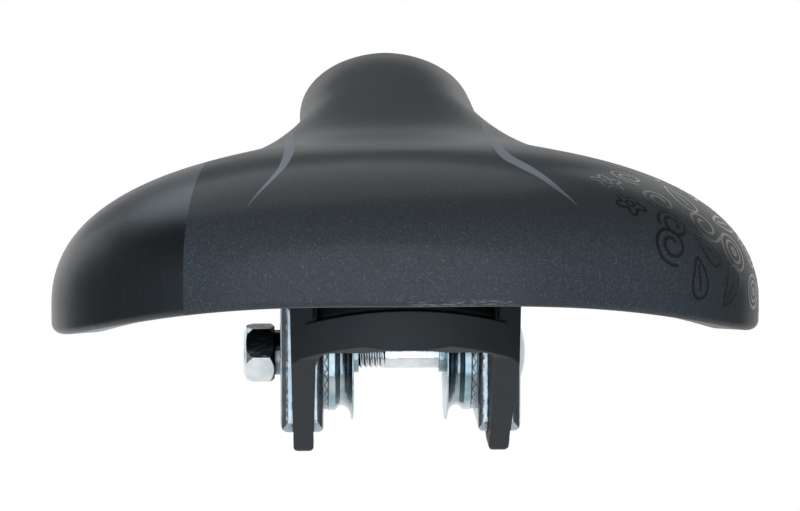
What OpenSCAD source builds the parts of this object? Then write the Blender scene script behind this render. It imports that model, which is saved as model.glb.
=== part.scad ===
// Child's bicycle saddle with a moulded clamp frame, in millimetres.
// X is to the rider's right, Y runs from the rear edge to the nose and Z is up.
// The origin is on the clamp bolt's axis, midway between the two seat post cups.

/* [Saddle outline] */
// Length from the rear edge to the nose tip
saddle_length = 230; // [215:1:245]
// Width across the wings
saddle_width = 161; // [149:1:173]
// Distance that the rear edge lies behind the clamp bolt
rear_overhang = 102; // [97:1:107]
// Distance from the rear edge to the widest station
rear_depth = 52; // [48:1:58]
// Width of the nose
nose_width = 47; // [44:0.5:52]
// Distance in front of the clamp bolt where the flanks reach the nose width
neck_station = 70; // [64:1:78]
// Length of the nose rounding, seen from above
nose_round = 26; // [22:1:30]
// Squareness of the rear outline, where 2 is an ellipse
rear_squareness = 2.0; // [1.9:0.05:2.4]
// Squareness of the nose outline
nose_squareness = 2.4; // [2:0.1:3]
// How gently the flanks leave the wings
flank_start = 1.4; // [1.3:0.05:1.8]
// How gently the flanks join the nose
flank_end = 2.45; // [2.2:0.05:2.6]

/* [Saddle heights above the bolt axis] */
// Lower edge at the middle of the rear
rear_edge = 28.5; // [28:0.5:32]
// Lower edge at the wing tips
wing_edge = 15; // [12:0.5:17]
// Lower edge along the nose
nose_edge = 34; // [31:0.5:36]
// How late the rear edge dips towards the wings
edge_dip = 2.8; // [2:0.1:3.2]
// Top of the padding at the rear
rear_crown = 58; // [56:0.5:62]
// Top of the padding at the waist
waist_crown = 55.5; // [54:0.5:58]
// Top of the padding at the nose
nose_crown = 63; // [61:0.5:67]
// Upright part of the side at the middle of the rear
rear_skirt = 8; // [6:0.5:11]
// Upright part of the side at the wing tips
wing_skirt = 5; // [4.6:0.2:7]
// Upright part of the side along the nose
nose_skirt = 12; // [9:0.5:14]
// Fullness of the section at the rear
rear_fullness = 2.3; // [2.1:0.1:2.6]
// Fullness of the section at the wings
wing_fullness = 2.35; // [2.2:0.05:2.7]
// Fullness of the section at the nose
nose_fullness = 2.05; // [2:0.05:2.4]
// Distance from the rear edge to the start of the crown line
crown_start = 38; // [34:1:44]
// Distance from the end of the crown line to the nose tip
crown_end = 22; // [18:1:26]

/* [Cover, padding and base] */
// Thickness of the cover
cover_thickness = 1.6; // [1.2:0.1:1.8]
// Radius at the cover's lower edge
cover_edge_radius = 2; // [1.4:0.1:2.4]
// Width of the cover's hem under the base
hem_width = 9.5; // [7:0.5:10]
// Depth of the padding at the rear
rear_padding = 20; // [17:0.5:21]
// Depth of the padding at the waist
waist_padding = 18; // [16:0.5:19]
// Depth of the padding at the nose
nose_padding = 17; // [15:0.5:19]
// Thickness of the base
base_thickness = 2.6; // [2.2:0.1:3]
// Width of the base's flat rim inside the cover
rim_width = 8.4; // [8:0.2:10]
// Fullness of the base's section
base_fullness = 2.8; // [2.4:0.1:3.2]
// Depth of the base's cross ribs
rib_depth = 4.5; // [3:0.5:5]
// Thickness of the base's ribs
rib_thickness = 1.8; // [1.4:0.1:2.4]
// Outer diameter of the screw bosses
boss_diameter = 9; // [8:0.5:10]

/* [Clamp frame] */
// Height of the frame's top above the bolt axis
frame_top = 28; // [27:0.5:29]
// Gap between the walls at the top
wall_gap = 40.6; // [40.2:0.1:41]
// Thickness of each wall at the top
wall_thickness = 6.3; // [6:0.1:6.6]
// Draft of each inner wall face over the frame's height
inner_draft = 0.7; // [0.5:0.1:0.8]
// Draft of each outer wall face over the frame's height
outer_draft = 0.9; // [0.7:0.1:1.1]
// Depth of the frame below the bolt axis
leg_depth = 21.2; // [20.5:0.1:23]
// Distance that the foot of the legs lies behind the bolt axis
leg_foot = 18; // [16:0.5:20]
// Radius under the legs
leg_radius = 4; // [2:0.5:5]
// Rise of the walls' lower edge towards the front, in degrees
wall_rise = 12; // [10:0.5:13]
// Distance that the frame reaches in front of the bolt axis
frame_front = 36; // [35:0.5:38]
// Distance that the rear bridge lies behind the bolt axis
bridge_setback = 60; // [57:0.5:62]
// Radius of the rear bridge, seen from above
bridge_radius = 37; // [35:0.5:40]
// Thickness of the rear bridge
bridge_thickness = 4; // [3:0.5:5]
// Height of the bridge's lower edge above the bolt axis
bridge_bottom = 10; // [9:0.5:11]
// Height of the plaque's top above the bolt axis
plaque_top = 20.7; // [19:0.1:22]
// Height of the plaque at its middle
plaque_height = 9; // [7:0.5:9.5]
// Width of the plaque
plaque_width = 45.6; // [42:0.2:48]
// Distance that the plaque stands out from the bridge
plaque_relief = 0.9; // [0.5:0.1:1.4]
// Radius of the plaque's upper edge
plaque_upper_radius = 64; // [55:1:80]
// Radius of the plaque's lower edge
plaque_lower_radius = 74; // [65:1:95]
// Thickness of the frame's roof and lugs
roof_thickness = 3; // [2.5:0.1:3.5]
// Length of the bolt slot in each wall, between its end centres
slot_length = 26; // [20:1:28]
// Distance that the slot's rear end centre lies behind the bolt
slot_behind = 7; // [5:0.5:8]
// Width of the two windows in the frame's roof
window_width = 22; // [16:1:22]
// Length of the two windows in the frame's roof
window_length = 20; // [14:1:20]

/* [Clamp hardware] */
// Diameter of the clamp bolt
bolt_diameter = 8; // [7.5:0.1:8.4]
// Diameter of the bolt's low domed head
head_diameter = 17.4; // [16:0.1:19]
// Height of the bolt's head
head_height = 2.1; // [1.6:0.1:3]
// Length of the bolt's square neck
neck_length = 2.6; // [2:0.1:3.4]
// Width across the nut's flats
nut_width = 13; // [12.5:0.1:14]
// Height of the nut
nut_height = 7.5; // [6:0.1:8.5]
// Distance that the bolt's end stays inside the nut
nut_cover = 0.6; // [0.2:0.1:1.5]
// Length of the clamp plates along the saddle
plate_size = 36.8; // [34:0.2:38]
// Height of the clamp plates
plate_height = 33.6; // [32:0.2:34]
// Corner radius of the clamp plates
plate_corner = 4; // [2:0.5:7]
// Sheet thickness of the clamp plates
sheet_thickness = 1.4; // [1.2:0.1:1.6]
// Bend radius outside the plates' turned edges
bend_radius = 2.6; // [2:0.1:3]
// Overall depth of the inner plates
inner_plate_depth = 2.5; // [2.2:0.1:2.9]
// Overall depth of the outer plates
outer_plate_depth = 3.1; // [2.6:0.1:3.6]
// Height of the raised seat round the nut's hole
nut_seat_height = 1.4; // [0.8:0.1:2]
// Diameter of the raised seat round the nut's hole
nut_seat_diameter = 11; // [10.4:0.1:12.4]
// Free gap between the seat post cups
cup_gap = 22.4; // [21.8:0.1:23]
// Outer diameter of the cups' rims
cup_rim_diameter = 33; // [31:0.5:35]
// Width of the flat rim face
cup_rim_width = 1.6; // [1.2:0.1:2.2]
// Diameter of the cups' waist
cup_waist_diameter = 26; // [24:0.5:27]
// Diameter of the cups' toothed base
cup_base_diameter = 28.4; // [28:0.1:30]
// Diameter of the pilot boss in each cup
pilot_diameter = 10; // [9.8:0.1:11]
// Distance that the pilot boss stands out past the rim
pilot_reach = 1.4; // [0:0.1:2]
// Number of radial teeth
tooth_count = 30; // [20:1:36]
// Height of the radial teeth
tooth_height = 0.8; // [0.5:0.1:1]
// Height of the plain band under the teeth
tooth_root = 0.2; // [0.1:0.05:0.3]
// Inner diameter of the ring of teeth
tooth_inner_diameter = 18.6; // [17:0.2:20]
// Diameter of the frame screws
screw_diameter = 4; // [3.5:0.1:4.5]
// Length of the frame screws below the head
screw_length = 9.5; // [8.5:0.1:10]
// Diameter of the screw heads
screw_head_diameter = 8; // [7:0.1:8.4]
// Height of the screw heads
screw_head_height = 2.4; // [2:0.1:3]

/* [Clearances] */
// Between a bolt or screw and its hole
hole_clearance = 0.4; // [0.2:0.05:0.6]
// Between a clamp plate and its track
track_clearance = 0.3; // [0.2:0.05:0.6]
// Between meshing teeth
tooth_clearance = 0.05; // [0.02:0.01:0.1]
// Between the bolt's thread and the nut
thread_clearance = 0.1; // [0.05:0.01:0.2]

/* [Hidden] */
$fn = 72;

// Stations along the saddle
rear_y = -rear_overhang;
wide_y = rear_y + rear_depth;
nose_tip_y = rear_y + saddle_length;
nose_start_y = nose_tip_y - nose_round;
half_width = saddle_width / 2;
half_nose = nose_width / 2;
crown_rear_y = rear_y + crown_start;
crown_level = 8;
crown_nose_y = nose_tip_y - crown_end - crown_level;
waist_y = -5;
edge_level = 48;
edge_level_y = nose_start_y - edge_level;
crown_turn = 2.2;

// Grid of the saddle surfaces: rays round half the outline, rows from the crown to the side
rear_rays = 9;
flank_rays = 13;
nose_rays = 8;
rays = rear_rays + flank_rays + nose_rays;
rows = 9;

// Base
rim_inset = cover_thickness + rim_width;
support_rib_x = (wall_gap + wall_thickness) / 2;
shell_sink = base_thickness / 2;
rib_stations = [rear_y + 22, rear_y + 38, -12, 12, neck_station - 4, nose_start_y - 18];
rib_reach = 0.88;
support_rib_rear = -bridge_setback + 18;
support_rib_front = frame_front - 17;
boss_bore_depth = screw_length - roof_thickness + 0.4;

// Frame
wall_inner = wall_gap / 2;
wall_outer = wall_inner + wall_thickness;
inner_seat = wall_inner + inner_draft;
outer_seat = wall_outer - outer_draft;
frame_height = frame_top + leg_depth;
bridge_centre_y = -bridge_setback + bridge_radius;
roof_bottom = frame_top - roof_thickness;
slot_front_y = slot_length - slot_behind;
track_half_height = plate_height / 2 + track_clearance;
track_rear_y = -slot_behind - plate_size / 2 - track_clearance;
track_cut = 4;
bridge_end_y = -bridge_setback + 20;
bridge_reach = 2;
wall_start_y = -bridge_setback + 10;
leg_top_y = -bridge_setback + 9;
leg_top_z = bridge_bottom - 2;
side_corner = 6;
roof_corner = 3;
bridge_corner = 3.5;
crest_drop = 0.6;
bridge_back = 1.8;
foot_level = 0.3;
foot_round = 1.8;
foot_margin = 0.1;
plaque_front_y = -bridge_setback + 14;
arc_facets = 180;
window_stations = [-26, 14];

// Screws
rear_lug_reach = 7;
rear_screw_x = wall_outer + rear_lug_reach;
rear_screw_y = -32;
front_lug_reach = 11;
front_screw_x = 8.5;
front_screw_y = frame_front + front_lug_reach;
lug_radius = 6.5;
lug_root = 2;
lug_flare = 4;
front_lug_spread = 1.7;

// Clamp stack, as distances from the middle plane
inner_face = inner_seat - inner_plate_depth;
cup_base_face = inner_face - tooth_height - 2 * tooth_root - tooth_clearance;
tooth_valley = cup_base_face + tooth_root;
tooth_crest = tooth_valley + tooth_height;
outer_face = outer_seat + outer_plate_depth;
nut_seat = outer_face + nut_seat_height;
nut_end = nut_seat + nut_height;
cup_rim_face = cup_gap / 2;
hole_radius = (bolt_diameter + hole_clearance) / 2;
tooth_sink = 0.4;
tooth_margin = 0.2;
bend_step = 0.4;
overlap = 1;

function ease(u) = let (v = max(0, min(1, u))) v * v * (3 - 2 * v);
function mix(a, b, t) = a + (b - a) * t;
function flip(p) = [-p[0], p[1], p[2]];

// Outline of the lower edge, seen from above, for ray i from the rear middle to the nose tip
function rear_angle(i) = 90 * i / rear_rays;
function nose_angle(i) = 90 * (i - rear_rays - flank_rays) / nose_rays;
function flank_y(i) = mix(wide_y, nose_start_y, (i - rear_rays) / flank_rays);
function flank_x(y) =
  let (u = max(0, min(1, (y - wide_y) / (neck_station - wide_y))))
  mix(half_nose, half_width, pow(1 - pow(u, flank_start), flank_end));
function outline(i) =
  i <= rear_rays ? [
    half_width * pow(sin(rear_angle(i)), 2 / rear_squareness),
    wide_y - rear_depth * pow(cos(rear_angle(i)), 2 / rear_squareness)
  ] :
  i <= rear_rays + flank_rays ? [flank_x(flank_y(i)), flank_y(i)] :
  [
    half_nose * pow(cos(nose_angle(i)), 2 / nose_squareness),
    nose_start_y + nose_round * pow(sin(nose_angle(i)), 2 / nose_squareness)
  ];

// Outward direction of the outline at ray i
function outward(i) =
  i <= 0 ? [0, -1] :
  i >= rays ? [0, 1] :
  let (a = outline(i - 1), b = outline(i + 1), d = b - a) [d[1], -d[0]] / norm(d);
function inset(i, d) = outline(i) - d * outward(i);

// Values that change along the outline
function wing_share(i) = outline(i)[0] / half_width;
function nose_share(i) = ease((outline(i)[1] - wide_y) / (edge_level_y - wide_y));
function along(i, rear, wing, nose, power) =
  i <= rear_rays ? mix(rear, wing, pow(wing_share(i), power)) : mix(wing, nose, nose_share(i));
function edge_z(i) = along(i, rear_edge, wing_edge, nose_edge, edge_dip);
function skirt(i) = along(i, rear_skirt, wing_skirt, nose_skirt, 2);
function fullness(i) = along(i, rear_fullness, wing_fullness, nose_fullness, 2);

// Foot of ray i on the crown line, and the heights along that line
function crown_y(i) =
  let (
    y = outline(i)[1],
    back = max(0, 1 - (y - rear_y) / (crown_turn * crown_start)),
    front = max(0, 1 - (nose_tip_y - y) / (crown_turn * crown_end))
  )
  y + crown_start * back * back - crown_end * front * front;
function along_crown(y, rear, waist, nose) =
  y < waist_y ? mix(waist, rear, ease((waist_y - y) / (waist_y - crown_rear_y))) :
  mix(waist, nose, ease((y - waist_y) / (crown_nose_y - waist_y)));
function crown_z(y) = along_crown(y, rear_crown, waist_crown, nose_crown);
function base_crown_z(y) =
  crown_z(y) - along_crown(y, rear_padding, waist_padding, nose_padding);

// Outer surface of the cover: s runs from 0 at the crown to 90 at the top of the skirt
function skin_point(i, s) =
  s < 0 ? flip(skin_point(i, -s)) :
  i < 0 ? flip(skin_point(-i, s)) :
  i > rays ? flip(skin_point(2 * rays - i, s)) :
  let (
    p = outline(i),
    y0 = crown_y(i),
    out = pow(sin(s), 2 / fullness(i)),
    up = pow(cos(s), 2 / fullness(i)),
    foot = edge_z(i) + skirt(i)
  )
  [p[0] * out, mix(y0, p[1], out), mix(foot, crown_z(y0), up)];
function crown_normal(y) =
  let (n = [0, crown_z(y - 1) - crown_z(y + 1), 2]) n / norm(n);
function skin_normal(i, s) =
  s == 0 ? crown_normal(crown_y(i)) :
  s == 90 ? [outward(i)[0], outward(i)[1], 0] :
  let (
    across = skin_point(i, s + 1) - skin_point(i, s - 1),
    round = skin_point(i + 0.25, s) - skin_point(i - 0.25, s),
    n = cross(across, round)
  )
  (n[2] < 0 ? -n : n) / norm(n);
function skin_row(i, j, depth) =
  let (s = 90 * j / rows) skin_point(i, s) - depth * skin_normal(i, s);

// Points on the side and under the edge: in is the distance inward, up the height above the edge
function edge_point(i, in, up) =
  let (p = inset(i, in)) [p[0], p[1], edge_z(i) + up];

// Base: face 0 is the top and face 1 the underside
function base_point(i, s, face) =
  let (
    p = inset(i, rim_inset + face * base_thickness),
    y0 = crown_y(i),
    out = pow(sin(s), 2 / base_fullness),
    up = pow(cos(s), 2 / base_fullness),
    foot = edge_z(i) + cover_thickness + (1 - face) * base_thickness
  )
  [p[0] * out, mix(y0, p[1], out), mix(foot, base_crown_z(y0) - face * base_thickness, up)];

// Height of the base's underside above a place, found along the ray that passes through it
function ray_side(i, x, y) =
  let (p = base_point(i, 90, 1), y0 = crown_y(i)) p[0] * (y - y0) - (p[1] - y0) * x;
function ray_through(x, y, low, high, steps) =
  let (mid = (low + high) / 2)
  steps == 0 ? mid :
  ray_side(mid, x, y) > 0 ? ray_through(x, y, mid, high, steps - 1) :
  ray_through(x, y, low, mid, steps - 1);
function under_z(x, y) =
  let (
    i = ray_through(max(abs(x), 0.5), y, 0, rays, 14),
    p = base_point(i, 90, 1),
    out = min(1, max(abs(x), 0.5) / p[0]),
    up = pow(1 - pow(out, base_fullness), 1 / base_fullness)
  )
  mix(p[2], base_crown_z(crown_y(i)) - base_thickness, up);
function outline_x(y) =
  y > wide_y ? flank_x(y) :
  half_width * pow(1 - pow((wide_y - y) / rear_depth, rear_squareness), 1 / rear_squareness);
function under_half_width(y) = outline_x(y) - rim_inset - base_thickness;

// A closed surface from profiles: each lists one ray's points from the crown's outside over the
// edge and back to the crown's inside. From the point with the number back, the quads are split
// along the other diagonal, so that surfaces that lie on each other share their facets.
function sheet_index(i, j, count, left) =
  let (shared = j == 0 || j == count - 1 || i == 0 || i == rays)
  (left && !shared ? (rays + 1) * count : 0) + i * count + j;
// The corner quads at the nose are turned too, so that no facet lies in the middle plane.
function other_way(i, j, count, back) = (j >= back) != (i == rays - 1 && (j == 0 || j == count - 2));
function split(a, b, c, d, other) = other ? [[a, b, d], [b, c, d]] : [[a, b, c], [a, c, d]];
function sheet_faces(count, left, back) = [
  for (i = [0 : rays - 1], j = [count - 2 : -1 : 0])
    let (
      a = sheet_index(i, j, count, left),
      b = sheet_index(i + 1, j, count, left),
      c = sheet_index(i + 1, j + 1, count, left),
      d = sheet_index(i, j + 1, count, left),
      other = other_way(i, j, count, back)
    )
    each (left ? split(a, d, c, b, other) : split(a, b, c, d, other))
];
module closed_sheet(profiles, back) {
  count = len(profiles[0]);
  right = [for (p = profiles) each p];
  left = [for (p = right) flip(p)];
  polyhedron(
    points = concat(right, left),
    faces = concat(sheet_faces(count, false, back), sheet_faces(count, true, back)),
    convexity = 8
  );
}

module cover() {
  corner = cover_edge_radius * (1 - sqrt(0.5));
  color("#2b2f33")
    closed_sheet([
      for (i = [0 : rays]) concat(
        [for (j = [0 : rows]) skin_row(i, j, 0)],
        [
          edge_point(i, 0, cover_edge_radius),
          edge_point(i, corner, corner),
          edge_point(i, cover_edge_radius, 0),
          edge_point(i, hem_width, 0),
          edge_point(i, hem_width, cover_thickness),
          edge_point(i, cover_thickness, cover_thickness),
          edge_point(i, cover_thickness, cover_thickness + base_thickness)
        ],
        [for (j = [rows : -1 : 0]) skin_row(i, j, cover_thickness)]
      )
    ], rows + 5);
}

module foam_pad() {
  color("#c9b68a")
    closed_sheet([
      for (i = [0 : rays]) concat(
        [for (j = [0 : rows]) skin_row(i, j, cover_thickness)],
        [edge_point(i, cover_thickness, cover_thickness + base_thickness)],
        [for (j = [rows : -1 : 0]) base_point(i, 90 * j / rows, 0)]
      )
    ], rows + 1);
}

// A rib from side to side under the base at station y, running out at both ends
module cross_rib(y) {
  reach = under_half_width(y) * rib_reach;
  steps = 12;
  depth = function(k) rib_depth * (1 - pow(abs(k) / steps, 3));
  top = [for (k = [-steps : steps]) [reach * k / steps, under_z(reach * k / steps, y) + shell_sink]];
  bottom = [for (k = [steps : -1 : -steps]) [reach * k / steps, under_z(reach * k / steps, y) - depth(k)]];
  translate([0, y + rib_thickness / 2, 0])
    rotate([90, 0, 0]) linear_extrude(rib_thickness) polygon(concat(top, bottom));
}

// A rib along the base that stands on one wall of the frame
module support_rib(side) {
  from = support_rib_rear;
  to = support_rib_front;
  steps = 10;
  x = side * support_rib_x;
  top = [for (k = [0 : steps]) let (y = mix(from, to, k / steps)) [y, under_z(x, y) + shell_sink]];
  translate([x - rib_thickness / 2, 0, 0])
    rotate([90, 0, 90]) linear_extrude(rib_thickness)
      polygon(concat(top, [[to, frame_top], [from, frame_top]]));
}

function screw_places() = [
  [-rear_screw_x, rear_screw_y], [rear_screw_x, rear_screw_y],
  [-front_screw_x, front_screw_y], [front_screw_x, front_screw_y]
];

module base_shell() {
  color("#1d1f21") difference() {
    union() {
      closed_sheet([
        for (i = [0 : rays]) concat(
          [for (j = [0 : rows]) base_point(i, 90 * j / rows, 0)],
          [
            edge_point(i, cover_thickness, cover_thickness + base_thickness),
            edge_point(i, cover_thickness, cover_thickness),
            edge_point(i, hem_width, cover_thickness)
          ],
          [for (j = [rows : -1 : 0]) base_point(i, 90 * j / rows, 1)]
        )
      ], rows + 3);
      for (y = rib_stations) cross_rib(y);
      for (side = [-1, 1]) support_rib(side);
      for (p = screw_places())
        translate([p[0], p[1], frame_top])
          cylinder(d = boss_diameter, h = under_z(p[0], p[1]) + shell_sink - frame_top);
    }
    for (p = screw_places())
      translate([p[0], p[1], frame_top - overlap])
        cylinder(d = screw_diameter, h = overlap + boss_bore_depth);
  }
}

// Corner points of an outline, each with its own radius: [y, z, radius]
function corner_points(a, b, c, r) =
  let (
    u = (a - b) / norm(a - b),
    v = (c - b) / norm(c - b),
    half = acos(u * v) / 2,
    centre = b + (u + v) / norm(u + v) * r / sin(half),
    start = b + u * r / tan(half),
    stop = b + v * r / tan(half),
    s = start - centre,
    t = stop - centre,
    sweep = acos(max(-1, min(1, s * t / (r * r)))),
    turn = sign(s[0] * t[1] - s[1] * t[0]),
    steps = 6
  )
  [for (k = [0 : steps])
    let (w = turn * sweep * k / steps)
    centre + [s[0] * cos(w) - s[1] * sin(w), s[0] * sin(w) + s[1] * cos(w)]];
function rounded(corners) =
  let (n = len(corners), at = [for (c = corners) [c[0], c[1]]])
  [for (k = [0 : n - 1])
    each (corners[k][2] == 0 ? [at[k]] :
      corner_points(at[(k + n - 1) % n], at[k], at[(k + 1) % n], corners[k][2]))];

// Section across the frame: two drafted walls under a top at the given height
module frame_section(opening_top, corner) {
  foot = -leg_depth - overlap;
  extra = 1 + overlap / frame_height;
  difference() {
    polygon([
      [-wall_outer, frame_top], [wall_outer, frame_top],
      [wall_outer - outer_draft * extra, foot], [-wall_outer + outer_draft * extra, foot]
    ]);
    polygon(rounded([
      [-wall_inner, opening_top, corner], [wall_inner, opening_top, corner],
      [wall_inner + inner_draft * extra, foot - overlap, 0],
      [-wall_inner - inner_draft * extra, foot - overlap, 0]
    ]));
  }
}

module along_y(from, to) {
  translate([0, to, 0]) rotate([90, 0, 0]) linear_extrude(to - from) children();
}

module along_x(from, to) {
  translate([from, 0, 0]) rotate([90, 0, 90]) linear_extrude(to - from) children();
}

module bridge_disc(radius) {
  translate([0, bridge_centre_y, -leg_depth - overlap])
    cylinder(r = radius, h = frame_height + 2 * overlap);
}

// Side view of the frame: slanting legs, rising lower edge and upright front
module frame_side() {
  front_z = -leg_depth + (leg_foot + frame_front) * tan(wall_rise);
  polygon(rounded([
    [-bridge_setback - bridge_reach, frame_top, 0],
    [-bridge_setback - bridge_reach, leg_top_z + side_corner, 0],
    [leg_top_y, leg_top_z, side_corner],
    [-leg_foot, -leg_depth, leg_radius],
    [frame_front, front_z, side_corner],
    [frame_front, frame_top, 0]
  ]));
}

module frame_walls() {
  intersection() {
    along_x(-wall_outer - overlap, wall_outer + overlap) frame_side();
    along_y(-bridge_setback - 2 * overlap, frame_front + overlap) foot_section();
    union() {
      bridge_disc(bridge_radius);
      translate([-wall_outer - overlap, bridge_centre_y, -leg_depth - overlap])
        cube([2 * (wall_outer + overlap), frame_front - bridge_centre_y, frame_height + 2 * overlap]);
    }
    union() {
      along_y(wall_start_y, frame_front) frame_section(roof_bottom, roof_corner);
      difference() {
        along_y(-bridge_setback - overlap, bridge_end_y) frame_section(bridge_bottom, bridge_corner);
        bridge_disc(bridge_radius - bridge_thickness);
        bridge_crest();
      }
    }
  }
}

// Everything between the walls that is above the bridge's arched top, apart from its back wall
module bridge_crest() {
  top = plaque_top - crest_drop;
  difference() {
    along_y(-bridge_setback - 2 * overlap, bridge_end_y + overlap) difference() {
      translate([-wall_inner, bridge_bottom + 5]) square([2 * wall_inner, frame_height]);
      translate([0, top - plaque_upper_radius]) circle(r = plaque_upper_radius, $fn = arc_facets);
    }
    bridge_disc(bridge_radius - bridge_thickness + bridge_back);
  }
}

// Section across the frame that rounds the two feet
module foot_section() {
  foot = -leg_depth + foot_level;
  translate([-wall_outer - overlap, foot + 2 * foot_round])
    square([2 * (wall_outer + overlap), frame_height]);
  for (side = [-1, 1])
    polygon(rounded([
      [side * (inner_seat - foot_margin), foot + 3 * foot_round, 0],
      [side * (inner_seat - foot_margin), foot, foot_round],
      [side * (outer_seat + foot_margin), foot, foot_round],
      [side * (outer_seat + foot_margin), foot + 3 * foot_round, 0]
    ]));
}

module plaque() {
  lower = plaque_top - plaque_height;
  intersection() {
    difference() {
      bridge_disc(bridge_radius + plaque_relief);
      bridge_disc(bridge_radius - bridge_thickness / 2);
    }
    along_y(-bridge_setback - 2 * overlap, plaque_front_y) intersection() {
      translate([0, plaque_top - plaque_upper_radius]) circle(r = plaque_upper_radius, $fn = arc_facets);
      translate([0, lower + plaque_lower_radius]) circle(r = plaque_lower_radius, $fn = arc_facets);
      square([plaque_width, 4 * plaque_top], center = true);
    }
  }
}

// Lugs on the roof that take the four screws
module frame_lugs() {
  for (side = [-1, 1]) hull() {
    translate([side * rear_screw_x, rear_screw_y, roof_bottom])
      cylinder(r = lug_radius, h = roof_thickness);
    translate([side * (wall_outer - lug_root), rear_screw_y, roof_bottom + roof_thickness / 2])
      cube([lug_root, 2 * (lug_radius + lug_flare), roof_thickness], center = true);
  }
  hull() for (side = [-1, 1]) {
    translate([side * front_screw_x, front_screw_y, roof_bottom])
      cylinder(r = lug_radius, h = roof_thickness);
    translate([side * front_screw_x * front_lug_spread, frame_front - lug_root, roof_bottom])
      cylinder(r = lug_radius / 2, h = roof_thickness);
  }
}

// Shallow tracks for the clamp plates, and the long slots for the bolt
module clamp_tracks() {
  length = frame_front - track_rear_y + overlap;
  for (side = [-1, 1], near = [inner_seat - track_cut, outer_seat])
    translate([side * (near + track_cut / 2), track_rear_y + length / 2, 0])
      cube([track_cut, length, 2 * track_half_height], center = true);
  along_x(-wall_outer - overlap, wall_outer + overlap) bolt_slot();
}

module bolt_slot() {
  for (y = [-slot_behind, slot_front_y]) translate([y, 0]) circle(r = hole_radius);
  translate([-slot_behind, -hole_radius]) square([slot_length, 2 * hole_radius]);
}

module rail_frame() {
  color("#3a3e42") difference() {
    union() {
      difference() {
        frame_walls();
        clamp_tracks();
      }
      plaque();
      frame_lugs();
    }
    for (p = screw_places())
      translate([p[0], p[1], roof_bottom - overlap])
        cylinder(d = screw_diameter + hole_clearance, h = roof_thickness + 2 * overlap);
    for (y = window_stations)
      translate([0, y, frame_top])
        cube([window_width, window_length, 3 * roof_thickness], center = true);
  }
}

// Pan-head screw that passes a lug and bites into a boss
module frame_screw(place) {
  dome_radius = screw_head_diameter * 0.875;
  recess_length = screw_head_diameter * 0.55;
  recess_width = 1;
  recess_depth = 1.1;
  color("#b9bdc0") translate([place[0], place[1], roof_bottom]) difference() {
    union() {
      cylinder(d = screw_diameter, h = screw_length);
      translate([0, 0, -screw_head_height]) intersection() {
        cylinder(d = screw_head_diameter, h = screw_head_height);
        translate([0, 0, dome_radius * 0.8]) sphere(r = dome_radius);
      }
    }
    for (turn = [0, 90]) rotate([0, 0, turn])
      translate([0, 0, -screw_head_height])
        cube([recess_length, recess_width, 2 * recess_depth], center = true);
  }
}

// Turns a shape built upwards from the middle plane onto the bolt's axis, to the right or left
module on_axis(side) {
  rotate([0, side * 90, 0]) children();
}

module clamp_bolt() {
  cap_radius = (pow(head_diameter / 2, 2) + head_height * head_height) / (2 * head_height);
  end = nut_end - nut_cover;
  color("#c3c8cb") {
    on_axis(1) {
      translate([0, 0, -end]) cylinder(d = bolt_diameter, h = end + outer_face);
      translate([0, 0, outer_face - neck_length / 2])
        cube([bolt_diameter, bolt_diameter, neck_length], center = true);
      translate([0, 0, outer_face]) intersection() {
        translate([0, 0, head_height - cap_radius]) sphere(r = cap_radius, $fn = 180);
        cylinder(d = head_diameter, h = head_height);
      }
    }
  }
}

module clamp_nut() {
  corner = nut_width / sqrt(3);
  round = nut_height * 0.3;
  edge = round / 2;
  color("#c9cdd0") on_axis(-1) translate([0, 0, nut_seat]) difference() {
    intersection() {
      rotate([0, 0, 30]) cylinder(r = corner, h = nut_height, $fn = 6);
      rotate_extrude() polygon([
        [0, 0], [corner - edge, 0], [corner, edge],
        [corner, nut_height - round], [corner - round / 3, nut_height - round / 3],
        [corner - round, nut_height], [0, nut_height]
      ]);
    }
    translate([0, 0, -overlap])
      cylinder(d = bolt_diameter + thread_clearance, h = nut_height + 2 * overlap);
  }
}

// Pressed plate with its four edges turned towards the wall
module pressed_plate(face, seat) {
  depth = abs(face - seat);
  way = sign(seat - face);
  translate([(face + seat) / 2, 0, 0]) difference() {
    dish_block(depth, way, 0);
    translate([way * sheet_thickness, 0, 0]) dish_block(depth, way, sheet_thickness);
  }
}

// Block with rounded corners, and rounded edges on the side away from the wall
module dish_block(depth, way, inset) {
  half_size = plate_size / 2 - inset;
  half_height = plate_height / 2 - inset;
  bend = min(bend_radius, depth - bend_step) - inset;
  intersection() {
    along_y(-half_size, half_size) turned_outline(depth, half_height, bend, way);
    linear_extrude(2 * half_height, center = true) turned_outline(depth, half_size, bend, way);
    along_x(-depth, depth) polygon(rounded([
      for (c = [[-1, -1], [1, -1], [1, 1], [-1, 1]])
        [c[0] * half_size, c[1] * half_height, plate_corner - inset]
    ]));
  }
}

// Rectangle that is rounded on the side away from the wall
module turned_outline(depth, half_height, radius, way) {
  polygon(rounded([
    [-way * depth / 2, -half_height, radius], [way * depth / 2, -half_height, 0],
    [way * depth / 2, half_height, 0], [-way * depth / 2, half_height, radius]
  ]));
}

module outer_plate_left() {
  color("#c3c8cb") difference() {
    union() {
      pressed_plate(-outer_face, -outer_seat);
      on_axis(-1) translate([0, 0, outer_face - sheet_thickness / 2])
        cylinder(d = nut_seat_diameter, h = sheet_thickness / 2 + nut_seat_height);
    }
    on_axis(-1) cylinder(r = hole_radius, h = nut_end);
  }
}

module outer_plate_right() {
  side = bolt_diameter + hole_clearance;
  color("#c3c8cb") difference() {
    pressed_plate(outer_face, outer_seat);
    translate([outer_face, 0, 0]) cube([4 * sheet_thickness, side, side], center = true);
  }
}

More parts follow.
